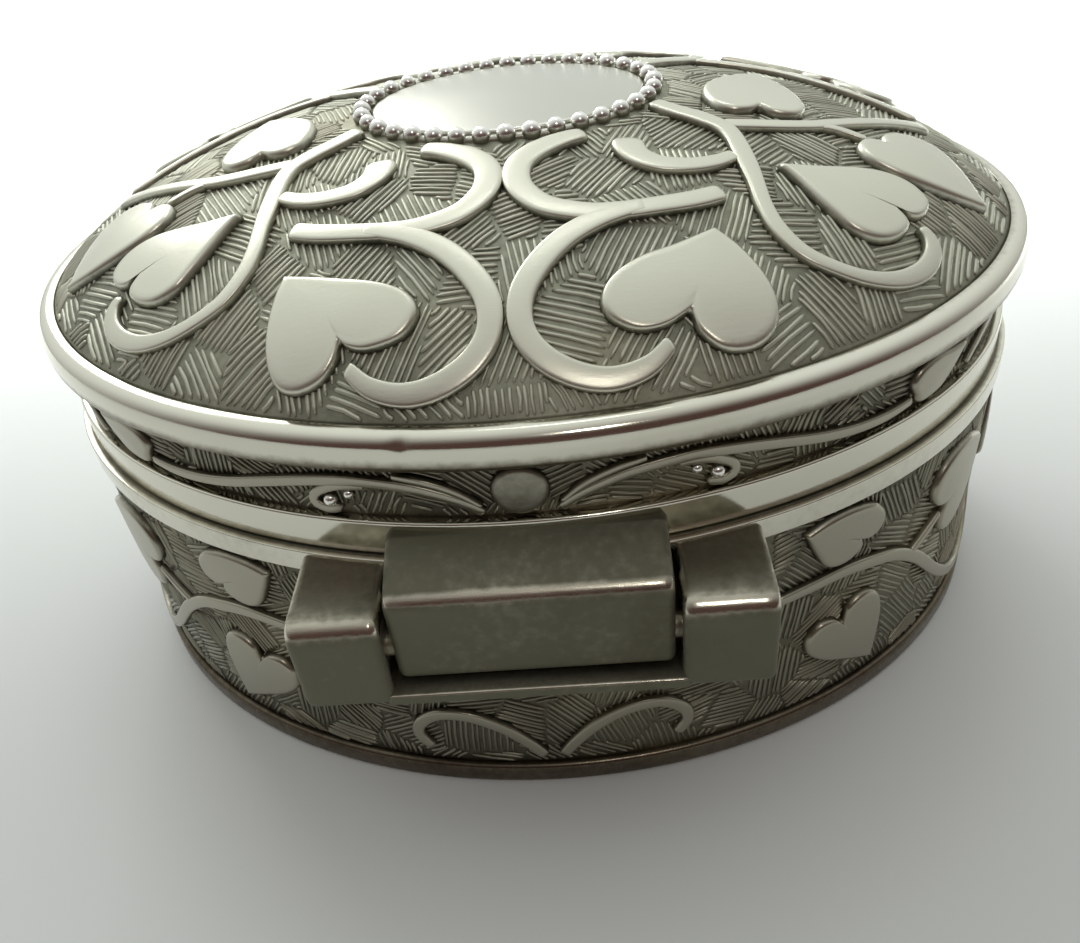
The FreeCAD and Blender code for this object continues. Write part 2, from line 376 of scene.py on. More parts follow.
def vinePiece(name, place, points, body, heightShare=1.0):
    # across: c = cos(a)^square, lift = height * sin(a)^square; width and height fade to round ends
    s = vineSettings
    line = smoothLine(points, s["spacing"])
    reach = np.maximum(line[[0, -1], 2] * s["endRound"], 0.1)
    run = np.concatenate([[0], np.cumsum(np.hypot(*np.diff(line[:, :2], axis=0).T))])
    finish = np.sin(np.linspace(0, math.pi / 2, 6))[:-1] ** 2
    between = run[(run > reach[0]) & (run < run[-1] - reach[1])]
    stations = np.unique(np.concatenate([finish * reach[0], between, run[-1] - finish * reach[1]]))
    line = np.stack([np.interp(stations, run, column) for column in line.T], axis=-1)
    fromStart = np.clip(stations / reach[0], 0, 1)
    fromEnd = np.clip((run[-1] - stations) / reach[1], 0, 1)
    fade = np.sqrt(1 - (1 - fromStart) ** 2) * np.sqrt(1 - (1 - fromEnd) ** 2)
    fade = np.maximum(fade, 0.03)
    slope = np.gradient(line[:, :2], axis=0)
    slope /= np.linalg.norm(slope, axis=1, keepdims=True)
    side = np.stack([-slope[:, 1], slope[:, 0]], axis=-1)
    a = np.linspace(0, math.pi, s["across"])
    c = np.sign(np.cos(a)) * np.abs(np.cos(a)) ** s["square"]
    up = np.sin(a).clip(0) ** s["square"]
    c = np.concatenate([[1.0], c, [-1.0]])
    up = np.concatenate([[-1.0], up, [-1.0]])
    half = (line[:, 2] / 2 * s["widen"] * fade)[:, None]
    u = line[:, 0:1] + side[:, 0:1] * half * c
    v = line[:, 1:2] + side[:, 1:2] * half * c
    top = s["height"] * heightShare * (1 + s["crown"] * (1 - c ** 2))
    lift = np.where(up >= 0, top * up * fade[:, None] ** 0.6, -s["sink"])
    points3 = place(u, v, lift)
    count = len(c)
    faces = gridFaces(len(stations), count).tolist()
    faces += [list(range(count))[::-1], list(range((len(stations) - 1) * count, len(stations) * count))]
    worn = np.where(up >= 0, 0.15 + 0.85 * np.clip(up, 0, 1) ** 1.5, 0.0) + 0 * half
    silver = "reliefSilver" if place is onDome else "wallReliefSilverPaintedShade"
    return buildPiece(name, points3, faces, body, silver, worn)


# raised shapes: rings drawn in from an outline towards a middle point
raisedSettings = {"height": 0.42, "sink": 0.12, "spacing": 0.13, "crown": 0.06,
                  "fill": (0.25, 0.5, 0.75, 0.92), "insets": (0.0, 0.0, 0.03, 0.09, 0.17, 0.27, 0.42),
                  "rises": (-1.0, 0.0, 0.55, 0.82, 0.95, 1.0, 1.0)}


def raisedPiece(name, place, outline, middle, body, height, silver=None, wornTop=1.0):
    # ring k stands in from the outline by insets[k] and up by rises[k]; past the last inset
    # the rings close on the middle while the top crowns
    s = raisedSettings
    middle = np.asarray(middle, float)
    inward = middle - outline
    reach = np.linalg.norm(inward, axis=1, keepdims=True)
    shares = [np.minimum(inset / reach, 0.5) for inset in s["insets"]]
    shares += [shares[-1] + (1 - shares[-1]) * share for share in s["fill"]]
    crowned = [1 + s["crown"] * math.sin(share * math.pi / 2) for share in s["fill"]]
    rises = np.array(list(s["rises"]) + crowned)
    rings = np.stack([outline + inward * share for share in shares])
    rowLift = np.where(rises > 0, rises * height, rises * s["sink"])
    lift = np.repeat(rowLift[:, None], len(outline), axis=1)
    points3 = place(rings[..., 0], rings[..., 1], lift).reshape(-1, 3)
    topPoint = place(middle[0:1], middle[1:2], np.array([height * (1 + s["crown"])]))
    floorPoint = place(middle[0:1], middle[1:2], np.array([-s["sink"]]))
    count = len(outline)
    rows = len(rises)
    k = np.arange(count)
    last = (rows - 1) * count
    faces = gridFaces(rows, count).tolist()
    faces += np.stack([last + k, last + (k + 1) % count, 0 * k + rows * count], axis=-1).tolist()
    faces += np.stack([(k + 1) % count, k, 0 * k + rows * count + 1], axis=-1).tolist()
    wornRows = 0.1 + (wornTop - 0.1) * np.clip(rises, 0, 1) ** 1.3
    worn = np.concatenate([np.repeat(wornRows, count), [wornTop, 0.0]])
    silver = silver or ("reliefSilver" if place is onDome else "wallReliefSilverPaintedShade")
    return buildPiece(name, np.vstack([points3, topPoint, floorPoint]), faces, body, silver, worn)


def heartPiece(name, place, heart, body, signU, signV, turnU=0.0, height=None):
    # outline: one smooth curve from tip to notch over one lobe, one back over the other lobe
    parts = {key: mirrored(np.atleast_2d(value), signU, signV, turnU) for key, value in heart.items()}
    spacing = raisedSettings["spacing"]
    firstHalf = smoothLine(np.vstack([parts["tip"], parts["lobe"], parts["notch"]]), spacing)
    secondHalf = smoothLine(np.vstack([parts["notch"], parts["otherLobe"], parts["tip"]]), spacing)
    outline = np.vstack([firstHalf[:-1], secondHalf[:-1]])
    return raisedPiece(name, place, outline, parts["middle"][0], body, height or raisedSettings["height"])


def ovalOutline(centre, halfLength, halfWidth, count):
    # centre + (halfLength cos t, halfWidth sin t)
    t = np.linspace(0, 2 * math.pi, count, endpoint=False)
    return np.stack([centre[0] + halfLength * np.cos(t), centre[1] + halfWidth * np.sin(t)], axis=-1)


# hatching: patches of short parallel ridges
hatchSettings = {"patch": 2.3, "pitch": 0.24, "width": 0.19, "height": 0.09, "sink": 0.10, "gap": 0.0,
                 "lines": 23, "samples": 57}


def hatchPiece(name, place, uRange, vRange, inside, body, seed, patch=None):
    # patch centres on a jittered grid; each ridge is the stretch of a line that is nearer
    # its own patch centre than any other; ridge profile is low in the ends and round across
    s = hatchSettings
    patch = patch or s["patch"]
    random = np.random.default_rng(seed)
    gu, gv = np.meshgrid(np.arange(uRange[0], uRange[1] + patch, patch),
                         np.arange(vRange[0], vRange[1] + patch, patch))
    centres = np.stack([gu.ravel(), gv.ravel()], axis=-1)
    centres = centres + random.uniform(-0.36, 0.36, centres.shape) * patch
    centres[:, 0] += (np.round((centres[:, 1] - vRange[0]) / patch) % 2) * patch / 2
    turn = random.permutation(len(centres)) * 2.39996 % math.pi
    along = np.stack([np.cos(turn), np.sin(turn)], axis=-1)
    across = np.stack([-along[:, 1], along[:, 0]], axis=-1)
    offset = (np.arange(s["lines"]) - s["lines"] // 2) * s["pitch"]
    offset = offset[None, :] + random.uniform(-0.03, 0.03, (len(centres), s["lines"]))
    reach = np.linspace(-1, 1, s["samples"]) * patch * 1.3
    start = centres[:, None, :] + across[:, None, :] * offset[..., None]
    sample = start[:, :, None, :] + along[:, None, None, :] * reach[None, None, :, None]
    flat = sample.reshape(-1, 2)
    nearest = np.concatenate([np.argmin(((part[:, None, :] - centres) ** 2).sum(-1), axis=1)
                              for part in np.array_split(flat, max(len(flat) // 20000, 1))])
    own = nearest.reshape(sample.shape[:3]) == np.arange(len(centres))[:, None, None]
    own &= inside(sample[..., 0], sample[..., 1])
    low = np.where(own, reach, 99).min(axis=2) + s["gap"] * random.uniform(0.4, 1.6, offset.shape)
    high = np.where(own, reach, -99).max(axis=2) - s["gap"] * random.uniform(0.4, 1.6, offset.shape)
    keep = (high - low) > 0.35
    ownStart, ownAlong = start[keep], np.broadcast_to(along[:, None, :], start.shape)[keep]
    ownAcross = np.broadcast_to(across[:, None, :], start.shape)[keep]
    low, high = low[keep][:, None], high[keep][:, None]
    t = np.array([0.0, 0.09, 0.5, 0.91, 1.0])
    fade = np.array([0.55, 0.97, 1.0, 0.97, 0.55])
    bend = random.uniform(-0.06, 0.06, low.shape) * np.sin(math.pi * t)
    middle = ownStart[:, None, :] + ownAlong[:, None, :] * (low + (high - low) * t)[..., None]
    middle = middle + ownAcross[:, None, :] * bend[..., None]
    c = np.array([-1.0, -0.62, 0.0, 0.62, 1.0])
    up = np.array([-1.0, 0.72, 1.0, 0.72, -1.0])
    strength = random.uniform(0.75, 1.1, len(low))
    half = s["width"] / 2 * fade[None, :, None] * c * strength[:, None, None]
    uv = middle[:, :, None, :] + ownAcross[:, None, None, :] * half[..., None]
    lift = np.where(up > 0, s["height"] * up * fade[:, None], -s["sink"]) * strength[:, None, None]
    points3 = place(uv[..., 0], uv[..., 1], lift)
    perRidge = len(t) * len(c)
    one = gridFaces(len(t), len(c))
    quads = (one[None] + (np.arange(len(low)) * perRidge)[:, None, None]).reshape(-1, 4).tolist()
    first = (np.arange(len(c))[None] + (np.arange(len(low)) * perRidge)[:, None]).tolist()
    last = (np.arange(len(c))[None] + (np.arange(len(low)) * perRidge + perRidge - len(c))[:, None]).tolist()
    worn = np.where(up > 0, 0.25 + 0.7 * up, 0.0) * np.ones((len(low), len(t), 1)) * strength[:, None, None]
    silver = "hatchSilver" if place is onDome else "wallHatchSilverPaintedShade"
    piece = buildPiece(name, points3, quads + [ring[::-1] for ring in first] + last, body, silver,
                       worn)
    print(name, "ridges", len(low))
    return piece


def ovalPiece(name, oval, profile, body, silver, worn=None, around=360, ding=None):
    # each profile point (offset, height) runs round the oval at its offset
    profile = np.asarray(profile, float)
    turn = np.linspace(0, 2 * math.pi, around, endpoint=False)[:, None]
    offset = profile[None, :, 0] + 0 * turn
    if ding is not None:
        offset = offset - ding(turn, profile[None, :, 1])
    x = (oval[0] + offset) * np.sin(turn)
    y = -(oval[1] + offset) * np.cos(turn)
    z = profile[None, :, 1] + 0 * turn
    faces = gridFaces(around, len(profile), True, True).tolist()
    worn = None if worn is None else np.repeat(np.asarray(worn, float)[None], around, axis=0)
    return buildPiece(name, np.stack([x, y, z], axis=-1), faces, body, silver, worn)


def roundedLoop(corners, steps=5):
    # closed outline through (offset, height, radius) corners, each corner a quarter-like arc
    corners = np.asarray(corners, float)
    before = np.roll(corners, 1, axis=0)[:, :2] - corners[:, :2]
    after = np.roll(corners, -1, axis=0)[:, :2] - corners[:, :2]
    before /= np.linalg.norm(before, axis=1, keepdims=True)
    after /= np.linalg.norm(after, axis=1, keepdims=True)
    half = np.arccos(np.clip((before * after).sum(1), -1, 1)) / 2
    reach = corners[:, 2] / np.tan(half)
    t = np.linspace(0, 1, steps)[None, :, None]
    start = (corners[:, :2] + before * reach[:, None])[:, None]
    end = (corners[:, :2] + after * reach[:, None])[:, None]
    corner = corners[:, None, :2]
    loop = start * (1 - t) ** 2 + corner * 2 * t * (1 - t) + end * t ** 2
    return loop.reshape(-1, 2)


# hinge blocks: a profile in the YZ plane carried along X
hingeSettings = {"soften": 0.34, "edgeSteps": 5, "bury": 0.3, "pastWall": 3, "earRounding": (0.5, 1.0),
                 "barRounding": 0.12, "barInset": 0.02, "barOverlap": 0.4, "knuckleBack": 1.1,
                 "knuckleGap": 0.06, "knuckleStand": 0.45, "knuckleShoulder": 0.95, "knuckleRounding": 0.75,
                 "knuckleFoot": 0.4, "knuckleWear": 0.12}


def hingeBlock(name, loop, lowX, highX, backLine, body, wear=0.40):
    # ring at x: the loop drawn in by soften * (1 - sin a) while x runs soften * (1 - cos a) in
    # from each end; y is held in front of backLine(x)
    s = hingeSettings
    a = np.linspace(0, math.pi / 2, s["edgeSteps"])
    edgeX = s["soften"] * (1 - np.cos(a))
    inset = s["soften"] * (1 - np.sin(a))
    middleX = np.linspace(lowX + s["soften"], highX - s["soften"], 14)[1:-1]
    x = np.concatenate([lowX + edgeX, middleX, highX - edgeX[::-1]])
    inset = np.concatenate([inset, 0 * middleX, inset[::-1]])
    step = np.roll(loop, -1, axis=0) - np.roll(loop, 1, axis=0)
    normal = np.stack([step[:, 1], -step[:, 0]], axis=-1)
    normal /= np.linalg.norm(normal, axis=1, keepdims=True)
    area = (loop[:, 0] * np.roll(loop[:, 1], -1) - np.roll(loop[:, 0], -1) * loop[:, 1]).sum() / 2
    normal *= np.sign(area)
    ring = loop[None] - normal[None] * inset[:, None, None]
    y = np.minimum(ring[..., 0], backLine(x)[:, None])
    points3 = np.stack([np.broadcast_to(x[:, None], y.shape), y, ring[..., 1]], axis=-1)
    count = len(loop)
    faces = gridFaces(len(x), count).tolist()
    faces += [list(range(count))[::-1], list(range((len(x) - 1) * count, len(x) * count))]
    front = np.clip(-normal[:, 0], 0, 1)
    above = np.clip(normal[:, 1], 0, 1)
    # front-facing faces are pulled to 0.18, which on the ears is painted shade; the edge between front and
    # top is made lighter
    worn = wear - (wear - 0.18) * front ** 3 + 10.0 * (front * above) ** 4
    worn = np.clip(worn[None] + 0.9 * inset[:, None], 0, 1)
    return buildPiece(name, points3, faces, body, "hingeSilver", worn)


def ovalFront(oval, grow):
    # y of the hinge side of an oval, moved out by grow, at each x
    return lambda x: -(oval[1] + grow) * np.sqrt(1 - (x / (oval[0] + grow)) ** 2)


pinY, pinZ = np.array(frame["joints"][0]["pos_m"][1:]) / mm


def makeHinge():
    # ears and bar: their boxes in the YZ plane, rounded, running back into the base wall;
    # knuckle: an arc about the pin underneath, then its box, running back over the lid's rim
    s = hingeSettings
    low, high = nodeBox("hinge_ear_right")
    wallY = high[1] + s["pastWall"]
    footRound, topRound = s["earRounding"]
    earLoop = roundedLoop([(low[1], low[2], footRound), (low[1], high[2], topRound), (wallY, high[2], 0.02),
                           (wallY, low[2], 0.02)], 9)
    back = ovalFront(baseOval, -s["bury"])
    ears = [hingeBlock("hinge_ear_right_cast", earLoop, low[0], high[0], back, "base"),
            hingeBlock("hinge_ear_left_cast", earLoop, -high[0], -low[0], back, "base")]
    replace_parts(ears[0], "hinge_ear_right")
    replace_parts(ears[1], "hinge_ear_left")
    low, high = nodeBox("hinge_floor_bar")
    frontY, wallY = low[1] + s["barInset"], high[1] + s["pastWall"]
    barLoop = roundedLoop([(frontY, low[2], s["barRounding"]), (frontY, high[2], s["barRounding"]),
                           (wallY, high[2], 0.02), (wallY, low[2], 0.02)], 5)
    bar = hingeBlock("hinge_floor_bar_cast", barLoop, low[0] - s["barOverlap"], high[0] + s["barOverlap"],
                     back, "base")
    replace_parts(bar, "hinge_floor_bar")
    low, high = nodeBox("hinge_lid_knuckle")
    wallY, underLid = high[1] + s["pastWall"], seam + s["knuckleGap"]
    turn = pinZ - low[2]
    backY = pinY + s["knuckleBack"]
    end = math.acos((backY - pinY) / turn)
    angle = np.linspace(1.5 * math.pi, 2 * math.pi - end, 10)[1:]
    under = np.stack([pinY + turn * np.cos(angle), pinZ + turn * np.sin(angle)], axis=-1)
    foot = roundedLoop([(low[1], pinZ, 0.0), (low[1], low[2], s["knuckleFoot"]), (pinY, low[2], 0.0)], 8)
    above = roundedLoop([(backY, underLid, 0.02), (wallY, underLid, 0.02), (wallY, high[2], 0.02),
                         (-(lidOval[1] + s["knuckleStand"]), high[2], 0.3),
                         (low[1], high[2] - s["knuckleShoulder"], s["knuckleRounding"]),
                         (low[1], pinZ, 0.0)], 7)[:-7]
    knuckle = hingeBlock("hinge_knuckle_cast", np.vstack([foot[8:16], under, above]), low[0], high[0],
                         ovalFront(lidOval, s["knuckleStand"] - s["bury"]), "lid", s["knuckleWear"])
    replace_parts(knuckle, "hinge_lid_knuckle")


pinSettings = {"stand": 0.07, "tip": 0.45, "around": 28}


def makePin():
    # rod along X; over each riveted end the radius runs tip + (1 - tip) * sin a of the full one
    # while x stands out by stand * cos a
    s = pinSettings
    low, high = nodeBox("hinge_pin")
    a = np.linspace(0, math.pi / 2, 6)
    endX = high[0] + s["stand"] * np.cos(a)
    endRadius = (high[2] - low[2]) / 2 * (s["tip"] + (1 - s["tip"]) * np.sin(a))
    x = np.concatenate([-endX, endX[::-1]])[:, None]
    radius = np.concatenate([endRadius, endRadius[::-1]])[:, None]
    turn = np.linspace(0, 2 * math.pi, s["around"], endpoint=False)[None]
    points3 = np.stack([x + 0 * turn, pinY + radius * np.cos(turn), pinZ + radius * np.sin(turn)], axis=-1)
    faces = gridFaces(len(x), s["around"]).tolist()
    faces += [list(range(s["around"]))[::-1], list(range((len(x) - 1) * s["around"], len(x) * s["around"]))]
    pin = buildPiece("hinge_pin_riveted", points3, faces, "base", "hingeSilver",
                     np.full(points3.shape[:2], 0.45))
    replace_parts(pin, "hinge_pin")


# lid relief, in plan millimetres: x to the right, y away from the hinge; width last
lidVines = {
    "lower_scroll": [(5.2, -9.95, 0.65), (4.2, -10.25, 0.78), (3.2, -10.7, 0.85), (2.1, -11.45, 0.92),
                     (1.15, -12.5, 0.95), (0.56, -13.6, 0.95), (0.56, -14.65, 0.92), (1.15, -15.45, 0.85),
                     (2.2, -15.95, 0.75), (3.4, -16.06, 0.66), (4.6, -15.7, 0.6), (5.45, -15.0, 0.5)],
    "upper_scroll": [(3.25, -5.5, 0.75), (2.3, -5.85, 0.95), (1.3, -6.5, 1.08), (0.65, -7.3, 1.1),
                     (0.52, -8.2, 1.1), (0.8, -9.05, 1.05), (1.6, -9.85, 0.95), (3.0, -10.25, 0.85),
                     (4.2, -10.2, 0.8), (5.5, -9.95, 0.8), (6.8, -9.6, 0.82), (8.0, -9.1, 0.8)],
    "stem": [(5.9, -2.75, 0.8), (6.8, -3.5, 0.85), (7.8, -4.15, 0.9), (8.55, -4.8, 0.85), (8.85, -5.6, 0.8),
             (8.98, -6.5, 0.82), (9.1, -7.5, 0.8), (9.2, -8.5, 0.7), (9.3, -9.6, 0.68), (9.6, -10.6, 0.7),
             (10.3, -11.45, 0.62), (11.3, -11.85, 0.55), (12.5, -11.95, 0.55), (13.7, -11.65, 0.6),
             (14.7, -11.0, 0.65), (15.3, -10.2, 0.65), (15.42, -9.5, 0.6), (15.1, -9.05, 0.42)],
    "hook": [(8.75, -6.8, 0.6), (7.9, -7.35, 0.72), (6.9, -7.65, 0.8), (5.8, -7.6, 0.92), (5.05, -7.1, 1.1),
             (4.75, -6.4, 1.3), (4.75, -5.75, 1.35)],
    "side_branch": [(8.5, -4.55, 0.7), (9.6, -4.4, 0.7), (11.0, -4.15, 0.68), (12.3, -3.75, 0.65),
                    (13.4, -3.15, 0.62), (14.6, -2.45, 0.6), (16.0, -1.6, 0.6), (17.3, -0.85, 0.7),
                    (18.0, -0.6, 0.85)],
    "twig": [(12.5, -3.7, 0.5), (13.4, -3.8, 0.45), (14.4, -4.15, 0.4)],
}
lidHearts = {
    "heart_large": {"tip": (7.35, -10.9), "notch": (6.1, -14.15), "middle": (6.5, -13.2),
                    "lobe": [(5.9, -11.65), (4.5, -12.3), (3.5, -13.1), (3.15, -13.9), (3.5, -14.5),
                             (4.3, -14.8), (5.2, -14.65)],
                    "otherLobe": [(6.35, -14.75), (7.1, -15.15), (8.1, -15.0), (8.9, -14.4), (9.15, -13.6),
                                  (8.9, -12.7), (8.2, -11.7)]},
    "heart_side": {"tip": (10.2, -7.3), "notch": (14.35, -8.55), "middle": (12.9, -8.3),
                   "lobe": [(11.4, -7.1), (12.8, -6.75), (14.2, -6.55), (15.3, -6.8), (15.85, -7.5),
                            (15.6, -8.3), (14.95, -8.75)],
                   "otherLobe": [(14.7, -9.2), (14.2, -9.9), (13.3, -10.35), (12.4, -10.2), (11.8, -9.6),
                                 (11.2, -8.8), (10.7, -8.0)]},
    "heart_end": {"tip": (18.6, -6.45), "notch": (14.95, -4.25), "middle": (16.2, -4.9),
                  "lobe": [(17.3, -6.65), (15.9, -6.6), (14.7, -6.3), (13.9, -5.7), (13.75, -4.9),
                           (14.2, -4.3)],
                  "otherLobe": [(15.1, -3.5), (15.8, -2.95), (16.8, -2.8), (17.6, -3.2), (18.1, -4.1),
                                (18.4, -5.2)]},
}
leftHeart = {"tip": (7.9, -11.3), "notch": (5.6, -14.25), "middle": (6.1, -13.3),
             "lobe": [(6.1, -11.8), (4.4, -12.35), (3.3, -12.95), (2.9, -13.7), (3.4, -14.45), (4.5, -14.7),
                      (5.25, -14.55)],
             "otherLobe": [(5.8, -14.85), (6.35, -15.3), (7.2, -15.4), (7.95, -15.05), (8.35, -14.2),
                           (8.4, -13.2), (8.2, -12.1)]}
middleHeart = {"tip": (10.9, 1.7), "notch": (10.3, -2.8), "middle": (10.2, -1.2),
               "lobe": [(9.6, 0.9), (8.5, -0.3), (8.15, -1.6), (8.4, -2.8), (9.1, -3.3), (9.8, -3.2)],
               "otherLobe": [(10.8, -3.2), (11.6, -3.2), (12.2, -2.6), (12.3, -1.6), (12.0, -0.3),
                             (11.5, 0.8)]}

# the four quarters of the oval: name, mirror in x, mirror in y
quarters = [("hinge_right", 1, 1), ("hinge_left", -1, 1), ("opening_right", 1, -1), ("opening_left", -1, -1)]


def vineCopy(name, place, vine, body, signU, signV, turnU=0.0, heightShare=1.0):
    # the vine's points mirrored, then carried as any vine
    return vinePiece(name, place, mirrored(vine, signU, signV, turnU), body, heightShare)


def makeLidRelief():
    # one quarter mirrored in x and y; the left large heart near the hinge has its own outline
    for quarter, signU, signV in quarters:
        for index, (part, vine) in enumerate(lidVines.items()):
            share = 1 - 0.03 * index  # crossing vines differ a little in height
            vineCopy("lid_" + part + "_" + quarter, onDome, vine, "lid", signU, signV, 0.0, share)
        for part, heart in lidHearts.items():
            shape = leftHeart if part == "heart_large" and quarter == "hinge_left" else heart
            heartPiece("lid_" + part + "_" + quarter, onDome, shape, "lid", signU, signV)
    for side, signU in (("right", 1), ("left", -1)):
        heartPiece("lid_heart_middle_" + side, onDome, middleHeart, "lid", signU, 1)
    print("lid relief made")


# wall relief: x is length round the oval from the middle of the hinge side, y is height
bandVines = {
    "vine": [(1.3, 14.9, 0.35), (1.7, 15.25, 0.4), (2.5, 15.65, 0.42), (3.7, 16.05, 0.45), (5.0, 16.25, 0.45),
             (6.4, 16.3, 0.48), (8.0, 16.1, 0.5), (9.5, 15.8, 0.5), (11.0, 15.45, 0.5), (12.5, 15.2, 0.48),
             (14.0, 15.1, 0.45), (15.4, 15.2, 0.35)],
    "thin_vine": [(1.35, 15.2, 0.22), (2.2, 15.85, 0.3), (3.2, 16.3, 0.3), (4.4, 16.6, 0.24)],
    "curl": [(5.4, 16.1, 0.35), (6.6, 16.0, 0.4), (7.4, 15.6, 0.42), (7.5, 15.15, 0.42), (7.0, 14.93, 0.4),
             (6.5, 15.05, 0.36)],
    "end_vine": [(19.2, 15.0, 0.35), (20.2, 15.6, 0.42), (21.4, 16.1, 0.45), (22.8, 16.15, 0.45),
                 (24.2, 15.7, 0.45), (25.4, 15.25, 0.4), (26.8, 15.3, 0.35)],
}
bandHearts = {
    "heart": {"tip": (18.7, 16.3), "notch": (15.5, 15.3), "middle": (16.6, 15.65),
              "lobe": [(17.7, 16.45), (16.6, 16.6), (15.7, 16.4), (15.25, 15.85)],
              "otherLobe": [(15.7, 14.9), (16.4, 14.8), (17.2, 14.95), (17.9, 15.5)]},
    "end_heart": {"tip": (29.9, 16.2), "notch": (26.9, 15.45), "middle": (28.0, 15.75),
                  "lobe": [(29.0, 16.5), (28.0, 16.7), (27.1, 16.5), (26.6, 15.95)],
                  "otherLobe": [(27.1, 14.95), (27.8, 14.85), (28.6, 15.0), (29.3, 15.5)]},
}
bandBeads = [(6.9, 15.32, 0.27), (6.15, 15.62, 0.2)]

baseVines = {
    "vine": [(9.4, 8.4, 0.5), (11.0, 8.55, 0.55), (12.6, 8.6, 0.6), (14.2, 8.3, 0.65), (15.6, 7.8, 0.65),
             (17.0, 6.8, 0.65), (18.1, 5.7, 0.65), (19.2, 4.5, 0.62), (20.4, 3.4, 0.6), (21.8, 2.4, 0.55),
             (23.4, 1.85, 0.5), (25.0, 1.9, 0.5), (26.4, 2.6, 0.5), (27.4, 3.8, 0.5), (27.9, 5.2, 0.45),
             (27.9, 6.2, 0.4)],
    "twig": [(16.6, 7.2, 0.4), (17.6, 7.7, 0.42), (18.6, 8.3, 0.35)],
    "centre_scroll": [(0.35, 1.7, 0.5), (1.0, 2.6, 0.55), (2.0, 3.6, 0.6), (3.3, 4.3, 0.6), (4.6, 4.35, 0.6),
                      (5.5, 3.7, 0.6), (5.7, 2.9, 0.55), (5.2, 2.1, 0.5)],
}
baseHearts = {
    "small_heart": {"tip": (10.4, 11.5), "notch": (13.3, 10.1), "middle": (12.3, 10.6),
                    "lobe": [(11.5, 11.85), (12.7, 11.9), (13.8, 11.6), (14.4, 10.9), (14.3, 10.2),
                             (13.8, 9.9)],
                    "otherLobe": [(13.3, 9.5), (12.5, 9.1), (11.6, 9.3), (11.0, 10.2)]},
    "lower_heart": {"tip": (14.9, 2.1), "notch": (12.8, 5.55), "middle": (13.3, 4.7),
                    "lobe": [(13.3, 2.9), (12.0, 3.6), (11.1, 4.5), (11.0, 5.4), (11.6, 6.05), (12.35, 6.0)],
                    "otherLobe": [(13.1, 6.4), (13.9, 6.75), (14.7, 6.3), (15.1, 5.3), (15.15, 4.0)]},
    "big_heart": {"tip": (21.8, 10.6), "notch": (18.85, 8.6), "middle": (19.8, 9.1),
                  "lobe": [(21.6, 9.0), (20.9, 7.4), (19.8, 6.7), (18.9, 7.0), (18.6, 7.8)],
                  "otherLobe": [(18.1, 8.9), (17.6, 9.8), (18.1, 10.8), (19.2, 11.3), (20.6, 11.2)]},
    "end_heart": {"tip": (28.2, 10.9), "notch": (27.9, 6.7), "middle": (27.9, 8.0),
                  "lobe": [(26.6, 9.8), (25.6, 8.2), (25.5, 6.9), (26.3, 6.1), (27.2, 6.2)],
                  "otherLobe": [(28.5, 6.1), (29.5, 6.0), (30.3, 6.8), (30.2, 8.2), (29.4, 9.7)]},
}


# the opening side has room in the middle where the other side has its hinge
openingVine = [(9.6, 8.42, 0.5), (8.2, 8.2, 0.55), (6.7, 7.5, 0.6), (5.3, 6.7, 0.6), (4.1, 6.4, 0.6),
               (3.1, 6.8, 0.6), (2.75, 7.7, 0.55), (3.2, 8.5, 0.5), (4.0, 8.6, 0.42)]
openingHeart = {"tip": (8.9, 11.3), "notch": (5.7, 9.9), "middle": (6.9, 10.3),
                "lobe": [(7.8, 11.6), (6.6, 11.8), (5.5, 11.5), (5.0, 10.8), (5.2, 10.1)],
                "otherLobe": [(5.7, 9.2), (6.6, 8.8), (7.6, 9.1), (8.3, 10.1)]}
centreHeart = {"tip": (0, 7.4), "notch": (0, 10.7), "middle": (0, 9.9),
               "lobe": [(0.9, 8.5), (1.8, 9.7), (2.0, 10.8), (1.4, 11.6), (0.5, 11.5)],
               "otherLobe": [(-0.5, 11.5), (-1.4, 11.6), (-2.0, 10.8), (-1.8, 9.7), (-0.9, 8.5)]}


def makeOpeningSide():
    # two vines, two hearts and a centre heart, reflected about half the way round
    turn = baseAround / 2
    height = raisedSettings["height"] * 0.9
    for side, signU in (("right", 1), ("left", -1)):
        vineCopy("base_opening_vine_" + side, onBaseWall, openingVine, "base", signU, 1, turn, 0.84)
        heartPiece("base_opening_heart_" + side, onBaseWall, openingHeart, "base", signU, 1, turn, height)
    heartPiece("base_centre_heart", onBaseWall, centreHeart, "base", 1, 1, turn, height)


def makeWallRelief(prefix, place, around, vines, hearts, body, heightShare):
    # the hinge half is drawn; the opening half is its mirror, reflected about half the way round
    for quarter, signU, signV in quarters:
        turn = 0.0 if signV > 0 else around / 2
        for index, (part, vine) in enumerate(vines.items()):
            share = heightShare - 0.03 * index
            vineCopy(prefix + part + "_" + quarter, place, vine, body, signU, 1, turn, share)
        for part, heart in hearts.items():
            height = raisedSettings["height"] * heightShare
            heartPiece(prefix + part + "_" + quarter, place, heart, body, signU, 1, turn, height)
    print(prefix, "relief made")


bossSettings = {"rings": 8, "spokes": 20, "stand": 0.45}


